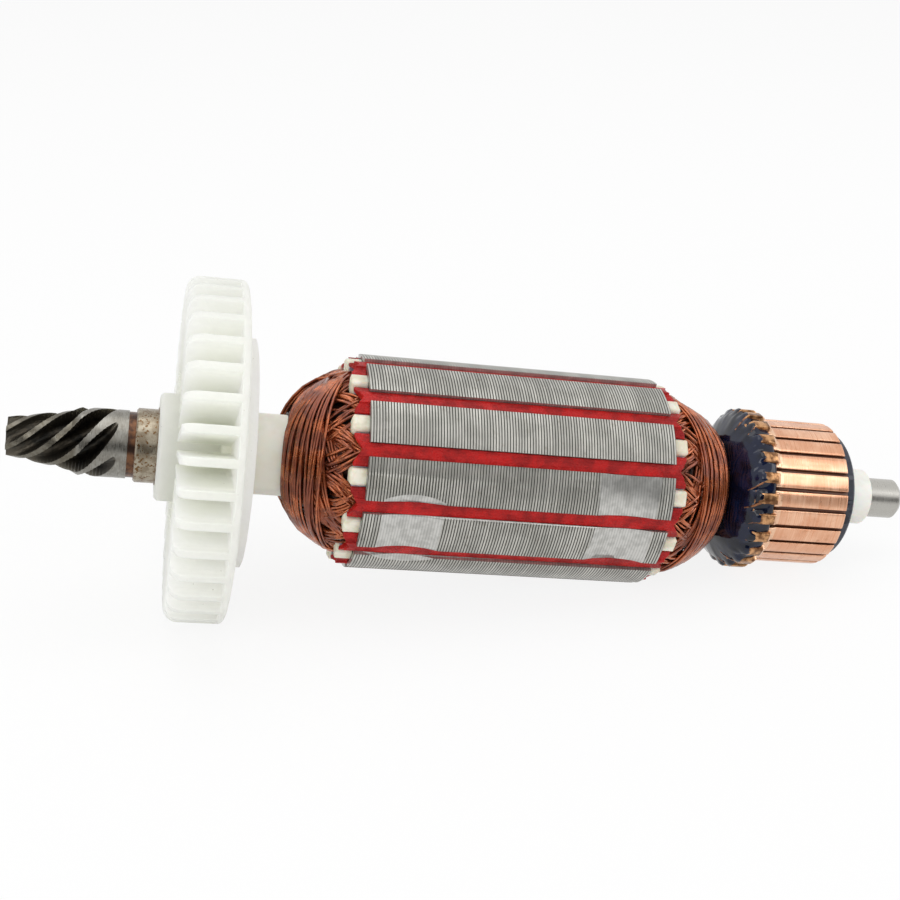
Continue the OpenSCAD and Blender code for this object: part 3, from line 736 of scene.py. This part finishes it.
# Outline of each head's outermost layer: height over the stack, radius.
DRIVE_DOME = [(1.2, 16.2), (3.0, 15.7), (5.0, 14.8), (7.0, 13.6), (8.8, 12.4), (10.3, 11.1),
              (11.5, 9.7), (12.2, 8.4), (12.5, 7.3)]
COMMUTATOR_DOME = [(1.2, 16.5), (3.2, 16.4), (5.6, 15.5), (8.0, 14.3), (10.2, 12.8),
                   (12.0, 11.1), (13.2, 9.3), (13.7, 7.6)]
DOME_START_H = 1.2
SLEEVE_CLEAR_R = 7.0
print("Wires drawn:", SLOTS * TURNS)


# %% Outlines of the layers
def along_profile(profile, share):
    """The point at a share of the way along a dome's outline, from the stack to the top."""
    place = min(max(share, 0), 1) * (len(profile) - 1)
    k = min(int(place), len(profile) - 2)
    return Vector(profile[k]).lerp(Vector(profile[k + 1]), place - k)


def inset_profile(profile, depth):
    """The outline of a layer that lies so deep below the outermost one."""
    shrink = 1 - depth / profile[-1][0]
    return [(DOME_START_H + (h - DOME_START_H) * shrink, max(r - depth, SLEEVE_CLEAR_R))
            for h, r in profile]


def radius_at(profile, place):
    """The radius of an outline at a place along the shaft, or its first one before that."""
    return next((r0 + (r1 - r0) * (place - h0) / (h1 - h0)
                 for (h0, r0), (h1, r1) in zip(profile, profile[1:]) if h0 <= place <= h1),
                profile[0][1])


# %% Where a turn lies in its slot
def slot_half_width(r):
    """Half the width inside a slot's liner at a radius: the slot lies between two teeth."""
    half_pitch = math.radians(PITCH / 2)
    return r * math.tan(half_pitch) - TOOTH_WIDTH / 2 / math.cos(half_pitch) - LINER_ROOM


def slot_seat(upper, turn):
    """Where a turn lies inside its slot: radius, and distance from the slot's middle."""
    row, column = divmod(turn, WIRES_ACROSS)
    middle = (WIRES_ACROSS - 1) / 2
    low_r, high_r = ((SLOT_MIDDLE + HALVES_APART, SLOT_CEILING) if upper
                     else (SLOT_FLOOR, SLOT_MIDDLE - HALVES_APART))
    r = low_r + (high_r - low_r) * (row + 0.5) / WIRES_DEEP
    return r, (column - middle) / middle * max(slot_half_width(r), NARROWEST)


# %% [markdown]
# Over a head, a wire leaves its slot, climbs towards the shaft while it swings round to the
# other slot, and lies at the dome's skin. The first turns climb highest, the last ones stay
# near the stack, and each gets a little scatter, because no machine lays a wire twice alike.

# %% The line of one wire over one head
CLIMB_POINTS = 11
FIRST_REACH, REACH_LOSS = 0.97, 0.6
SCATTER = 0.03
STAGGER = 1.7
SWING_POWER, CLIMB_POWER = 1.45, 2.3
SETTLE_SHARE, SETTLE_POWER = 0.3, 0.8
SLOT_END_H = 0.2


def over_head(profile, depth, from_slot, turn, uppers, dice):
    """Points (r, turn, height) of one wire from its first slot to its second, over a dome."""
    layer = inset_profile(profile, depth + (turn % 2) * WIRE_R * STAGGER)
    share = (turn + 0.5) / TURNS
    reach = FIRST_REACH - REACH_LOSS * share + dice.uniform(-SCATTER, SCATTER)
    sway = dice.uniform(-SCATTER, SCATTER)
    middle = (from_slot + COIL_SPAN / 2) * PITCH
    half_turn = COIL_SPAN * PITCH / 2
    halves = []
    for side, upper in zip((-1, 1), uppers):
        seat_r, seat_off = slot_seat(upper, turn)
        half = [(seat_r, middle + side * half_turn + math.degrees(seat_off / seat_r), SLOT_END_H)]
        for k in range(CLIMB_POINTS):
            t = k / CLIMB_POINTS
            swing = half_turn * t ** SWING_POWER
            climb = reach * (1 - (1 - t) ** CLIMB_POWER) + sway * math.sin(math.pi * t) * side
            height, r = along_profile(layer, climb)
            settle = min(t / SETTLE_SHARE, 1) ** SETTLE_POWER
            r = seat_r + (r - seat_r) * settle
            off = seat_off * (1 - settle) / seat_r
            half.append((r, middle + side * (half_turn - swing) + math.degrees(off), height))
        halves.append(half)
    height, r = along_profile(layer, reach)
    return halves[0] + [(r, middle, height)] + halves[1][::-1]


# %% Lines drawn as wire
def draw_wires(name, lines, wire_r, resolution, material, closed=False, thickness=None):
    """One smooth mesh of round wires along lines of points in the shaft's frame."""
    curve = bpy.data.curves.new(name, "CURVE")
    curve.dimensions = "3D"
    curve.bevel_depth = wire_r * MM
    curve.bevel_resolution = resolution
    curve.use_fill_caps = not closed
    for line in lines:
        spline = curve.splines.new("POLY")
        spline.points.add(len(line) - 1)
        spline.use_cyclic_u = closed
        for point, place, thick in zip(spline.points, line, thickness or [1.0] * len(line)):
            point.co = (*(shaft_frame @ (place * MM)), 1)
            point.radius = thick
    wires = bpy.data.objects.new(name, curve)
    scene.collection.objects.link(wires)
    select_only(wires)
    bpy.ops.object.convert(target="MESH")
    bpy.ops.object.shade_smooth()
    wires.data.materials.append(material)
    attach(wires, "root")
    return wires


# %% Twelve coils of wire
def wind_coil(k):
    """All turns of coil k as one mesh, in the place of its CAD node."""
    layer = (k + LAYERS - 1) % LAYERS
    depth = (LAYERS - 1 - layer) * LAYER_STEP + WIRE_R
    uppers = (layer == LAYERS - 1, layer > 0)
    dice = random.Random(k)
    name = f"coil_{k + 1:02d}"
    lines = []
    for turn in range(TURNS):
        far = over_head(COMMUTATOR_DOME, depth, k, turn, uppers, dice)
        near = over_head(DRIVE_DOME, depth, k, turn, uppers, dice)
        lines.append([round_shaft(r, a, STACK_LEN + h) for r, a, h in far]
                     + [round_shaft(r, a, -h) for r, a, h in reversed(near)])
    coil = draw_wires(name + "_wires", lines, WIRE_R, 1, winding_copper, closed=True)
    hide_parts(name)
    return coil


coils = [wind_coil(k) for k in range(SLOTS)]
print("Triangles a coil:", triangles(coils[0]))

# %% [markdown]
# Below the outer wires lie many more, soaked in varnish, and between them there is no
# daylight. One turned body in each head stands for those deep layers: a profile spun round
# the shaft, painted nearly black as their shade and varnish, with the strands as a bump.

# %% A profile spun round the shaft
TURNED_CREASE = math.radians(40)


def turn_profile(name, profile, steps=96):
    """A closed ring from (z, r) points in millimetres, spun round the shaft."""
    points = [shaft_frame @ (round_shaft(r, 0, z) * MM) for z, r in profile]
    mesh = bpy.data.meshes.new(name)
    mesh.from_pydata(points, [(k, (k + 1) % len(points)) for k in range(len(points))], [])
    piece = bpy.data.objects.new(name, mesh)
    scene.collection.objects.link(piece)
    select_only(piece)
    bpy.ops.object.mode_set(mode="EDIT")
    bpy.ops.mesh.select_all(action="SELECT")
    bpy.ops.mesh.spin(steps=steps, angle=math.radians(360), center=stack_start, axis=along)
    bpy.ops.mesh.select_all(action="SELECT")
    bpy.ops.mesh.remove_doubles(threshold=MERGE_DISTANCE)
    bpy.ops.mesh.normals_make_consistent(inside=False)
    bpy.ops.object.mode_set(mode="OBJECT")
    bpy.ops.object.shade_smooth_by_angle(angle=TURNED_CREASE)
    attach(piece, "root")
    return piece


# %% Deep layers of both heads
SHAFT_HOLE_R = 6.75
CORE_R = 12.6
SKIN_DROP, SKIN_INSET, SKIN_MIN_R = 1.2, 2.0, 7.2

for name, dome, start, way in (("drive_deep_winding", DRIVE_DOME, 0, -1),
                               ("commutator_deep_winding", COMMUTATOR_DOME, STACK_LEN, 1)):
    skin = [(max(h - SKIN_DROP, SLOT_END_H), max(r - SKIN_INSET, SKIN_MIN_R)) for h, r in dome]
    profile = [(SLOT_END_H, SHAFT_HOLE_R), (SLOT_END_H, CORE_R)]
    profile += skin[1:] + [(skin[-1][0], SHAFT_HOLE_R)]
    core = turn_profile(name, [(start + way * h, r) for h, r in profile])
    core.data.materials.append(deep_winding)
    print(name, "triangles:", triangles(core))

# %% [markdown]
# Out of every slot come the wires of two coils at once, half of them turning one way and
# half the other, and they dive under the outer layers. These short bundles close the ring
# between the stack and the domes. The coils can't show them, as each is drawn with far fewer
# turns than a real one, so they are drawn once more as loose strands.

# %% Sizes of the strands at the slots
STRANDS_A_SLOT = 22
STRAND_POINTS = 10
SEAT_RADII = (13.0, 15.3)
SEAT_NARROWEST = 0.4
TOP_HEIGHTS = (5.5, 8.0)
SWAY_DEGREES, SWAY_SPREAD, SWAY_POWER = 17, 2.5, 1.15
BELOW_SKIN, BELOW_SPREAD = 1.25, 0.35
RISE_SHARE, DIVE_SHARE, DIVE_DEPTH = 0.4, 0.3, 2.8
print("Strands a head:", SLOTS * STRANDS_A_SLOT)


# %% Strands at the slots
def slot_strands(name, dome, start, way, seed):
    """Short wires that leave every slot and end inside the deep layers, as one mesh."""
    dice = random.Random(seed)
    lines = []
    for k in range(SLOTS * STRANDS_A_SLOT):
        slot, side = k // STRANDS_A_SLOT, 1 if k % 2 else -1
        seat_r = dice.uniform(*SEAT_RADII)
        seat_turn = slot * PITCH + math.degrees(
            dice.uniform(-1, 1) * max(slot_half_width(seat_r), SEAT_NARROWEST) / seat_r)
        top = dice.uniform(*TOP_HEIGHTS)
        shift = side * dice.gauss(SWAY_DEGREES, SWAY_SPREAD)
        below = BELOW_SKIN + dice.uniform(-BELOW_SPREAD, BELOW_SPREAD)
        line = []
        for place_no in range(STRAND_POINTS):
            t = place_no / (STRAND_POINTS - 1)
            h = SLOT_END_H + (top - SLOT_END_H) * t
            r = seat_r + (radius_at(dome, h) - below - seat_r) * min(t / RISE_SHARE, 1)
            r -= DIVE_DEPTH * max(t - (1 - DIVE_SHARE), 0) / DIVE_SHARE
            line.append(round_shaft(r, seat_turn + shift * t ** SWAY_POWER, start + way * h))
        lines.append(line)
    strands = draw_wires(name, lines, WIRE_R, 1, winding_copper)
    print(name, "triangles:", triangles(strands))


slot_strands("drive_slot_strands", DRIVE_DOME, 0, -1, seed=31)
slot_strands("commutator_slot_strands", COMMUTATOR_DOME, STACK_LEN, 1, seed=32)

# %% [markdown]
# Each coil's ends are laid into a hook on the commutator, and the whole ring of leads is
# drowned in dark resin. Such a poured shape could be sculpted by hand, but it would miss the
# hooks. So it starts as one turned body, and its points are then pushed out in code: along
# every lead, where the wire lifts it, and in a lump over the tip of every hook.


# %% Where the hooks are
def turn_of(node):
    """The turn of a node's middle round the shaft, in degrees."""
    low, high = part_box(node)
    middle = into_shaft_frame @ ((low + high) / 2)
    return math.degrees(math.atan2(middle.y, middle.x))


def turn_between(one, other):
    """The short way from one turn to another, in degrees."""
    return (other - one + 180) % 360 - 180


hook_turns = [turn_of(f"commutator_bar_{k + 1:02d}") for k in range(BARS)]
print("First hook at", round(hook_turns[0], 1), "degrees")

# %% Resin body: its outline as places along the shaft and radii
RESIN = [(64.2, 6.75), (64.2, 8.6), (64.5, 9.5), (64.9, 10.3), (65.4, 11.2), (65.9, 12.0),
         (66.4, 12.5), (66.9, 12.85), (67.4, 13.1), (67.9, 13.3), (68.4, 13.4), (68.9, 13.45),
         (69.4, 13.45), (69.9, 13.4), (70.3, 13.25), (70.55, 12.9), (70.6, 12.3), (70.6, 6.75)]
RESIN_START_Z = RESIN[0][0]

potting = turn_profile("lead_potting_poured", RESIN, steps=288)
potting.data.materials.append(potting_resin)
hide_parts("lead_potting")
print("Resin triangles:", triangles(potting))

# %% Leads: where each starts and ends, as turn and place along the shaft
LEAD_SLANT, SLANT_SCATTER, END_SCATTER = 10, 1.5, 2
LEAD_START_Z, START_SCATTER, LEAD_END_Z = 65.9, 0.3, 68.4

dice = random.Random(7)
leads = []
for turn in hook_turns:
    leads.append((turn + LEAD_SLANT + dice.uniform(-SLANT_SCATTER, SLANT_SCATTER),
                  LEAD_START_Z + dice.uniform(-START_SCATTER, START_SCATTER),
                  turn + dice.uniform(0, END_SCATTER), LEAD_END_Z))
print("Leads:", len(leads))

# %% How far a point of the resin lies from a lead
RESIN_R = 13.2
MM_A_DEGREE = math.radians(RESIN_R)


def away_from(turn, z, lead):
    """Distance in millimetres on the resin from a lead, and how far along it."""
    turn_a, z_a, turn_b, z_b = lead
    du, dv = (turn_b - turn_a) * MM_A_DEGREE, z_b - z_a
    pu, pv = turn_between(turn_a, turn) * MM_A_DEGREE, z - z_a
    share = min(max((pu * du + pv * dv) / (du * du + dv * dv), 0), 1)
    return math.hypot(pu - share * du, pv - share * dv), share


# %% Lift by the leads and hooks
LEAD_REACH, LEAD_WIDTH = 1.6, 0.5
START_LIFT, LIFT_GAIN = 0.1, 0.45
HOOK_Z, LUMP_LENGTH, LUMP_WIDTH, LUMP_HEIGHT = 67.7, 0.7, 1.0, 0.85


def lift_at(turn, z):
    """How far the leads and hooks under it lift the resin, in millimetres."""
    lift = 0
    for lead in leads:
        gap, share = away_from(turn, z, lead)
        if gap < LEAD_REACH:
            lift = max(lift, (START_LIFT + LIFT_GAIN * share)
                       * math.exp(-(gap / LEAD_WIDTH) ** 2))
    for hook in hook_turns:
        off = turn_between(hook, turn) * MM_A_DEGREE
        lump = math.exp(-(off / LUMP_WIDTH) ** 4 - ((z - HOOK_Z) / LUMP_LENGTH) ** 2)
        lift = max(lift, LUMP_HEIGHT * lump)
    return lift


print("Highest lift:", round(max(lift_at(turn, HOOK_Z) for turn in hook_turns), 2), "mm")

# %% Waves in the resin, and its points pushed out
LONG_WAVE, LONG_WAVES_ROUND, LONG_WAVE_START = 0.18, 5, 1.0
SHORT_WAVE, SHORT_WAVES_ROUND = 0.1, 11
WAVES_GROW_OVER, WAVES_SHARE = 2, 0.6
BORE_R = 8


def sag_at(turn, z):
    """Slow waves round the ring, as the resin ran while it set, and none at its start."""
    a = math.radians(turn)
    waves = (LONG_WAVE * math.sin(a * LONG_WAVES_ROUND + LONG_WAVE_START)
             + SHORT_WAVE * math.sin(a * SHORT_WAVES_ROUND))
    return waves * min(max((z - RESIN_START_Z) / WAVES_GROW_OVER, 0), 1) * WAVES_SHARE


moved = 0
for vertex in potting.data.vertices:
    x, y, z = (into_shaft_frame @ vertex.co) / MM
    r, turn = math.hypot(x, y), math.degrees(math.atan2(y, x))
    if r >= BORE_R:
        r_new = r + lift_at(turn, z) + sag_at(turn, z)
        vertex.co = shaft_frame @ (round_shaft(r_new, turn, z) * MM)
        moved += 1
select_only(potting)
bpy.ops.object.shade_smooth()
print("Resin points moved:", moved)

# %% [markdown]
# The leads themselves are short wires, half sunk in the resin: each follows the resin's
# outline from the winding up to its hook, and rises and thickens on the way.

# %% Lead wires
LEAD_R = 0.24
LEAD_POINTS = 7
SUNK, RISE = 0.18, 0.55
START_THICKNESS, THICKNESS_GAIN = 0.7, 0.5

shares = [k / (LEAD_POINTS - 1) for k in range(LEAD_POINTS)]
lines = []
for turn_a, z_a, turn_b, z_b in leads:
    line = []
    for t in shares:
        z = z_a + (z_b - z_a) * t
        r = radius_at(RESIN[1:], z) - SUNK + RISE * t
        line.append(round_shaft(r, turn_a + (turn_b - turn_a) * t, z))
    lines.append(line)
wires = draw_wires("lead_wires", lines, LEAD_R, 2, wetted_lead,
                   thickness=[START_THICKNESS + THICKNESS_GAIN * t for t in shares])
print("Lead wires, triangles:", triangles(wires))
